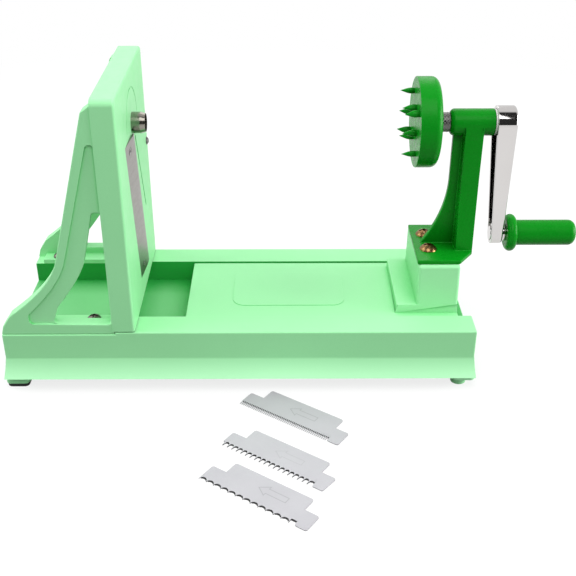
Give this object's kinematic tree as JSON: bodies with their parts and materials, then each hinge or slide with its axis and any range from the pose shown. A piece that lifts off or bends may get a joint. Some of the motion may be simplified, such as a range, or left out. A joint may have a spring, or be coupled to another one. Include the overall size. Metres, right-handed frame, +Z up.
{
  "type": "spiralizer",
  "caption": "Hand-cranked vegetable spiral cutter: tower with a leaning blade and coring tube, sliding carriage with a spiked wheel on a crank, and loose comb blades.",
  "frame": {"origin": "on the table, under the middle of the base", "axes": "+X along the base towards the crank, +Y away from the user's side, +Z up; the crank's axis lies in the plane y = 0"},
  "size_m": [0.3729, 0.2487, 0.1925],
  "materials": {
    "mint": "mint green moulded plastic, satin",
    "deep_green": "deep green moulded plastic, glossy",
    "pad_rubber": "black rubber",
    "blade_steel": "ground stainless steel",
    "comb_steel": "matt stainless steel sheet",
    "tube_steel": "polished stainless steel",
    "screw_steel": "zinc-plated screws",
    "dark_steel": "dark steel",
    "bronze": "yellow passivated screws",
    "chrome": "bright chrome plating",
    "nylon": "white nylon"
  },
  "bodies": {
    "base": {"base_tray": "mint", "rubber_pads": "pad_rubber", "tower_frame": "mint", "tower_screws": "screw_steel", "straight_blade": "blade_steel", "blade_screws": "screw_steel", "coring_tube": "tube_steel", "slot_screw": "dark_steel"},
    "fine_comb": {"fine_comb_blade": "comb_steel"},
    "medium_comb": {"medium_comb_blade": "comb_steel"},
    "coarse_comb": {"coarse_comb_blade": "comb_steel"},
    "carriage": {"carriage": "mint", "crank_bracket": "deep_green", "bracket_screws": "bronze"},
    "crank": {"crank_shaft": "tube_steel", "knurled_nut": "dark_steel", "spiked_wheel": "deep_green", "thrust_washer": "nylon", "crank_arm": "chrome", "crank_screw": "screw_steel", "grip_axle": "chrome"},
    "grip": {"handle_grip": "deep_green", "grip_cap": "deep_green"}
  },
  "joints": [
    {"name": "carriage_slide", "type": "slide", "parent": "base", "child": "carriage", "axis": [-1, 0, 0], "range_m": [0, 0.158]},
    {"name": "crank_turn", "type": "hinge", "parent": "carriage", "child": "crank", "pos_m": [0.145, 0, 0.1595], "axis": [1, 0, 0], "continuous": true},
    {"name": "grip_spin", "type": "hinge", "parent": "crank", "child": "grip", "pos_m": [0.197, 0, 0.083], "axis": [1, 0, 0], "continuous": true},
    {"name": "fine_comb_lift", "type": "slide", "parent": "base", "child": "fine_comb", "axis": [0, 0, 1], "range_m": [0, 0.08]},
    {"name": "medium_comb_lift", "type": "slide", "parent": "base", "child": "medium_comb", "axis": [0, 0, 1], "range_m": [0, 0.08]},
    {"name": "coarse_comb_lift", "type": "slide", "parent": "base", "child": "coarse_comb", "axis": [0, 0, 1], "range_m": [0, 0.08]}
  ]
}
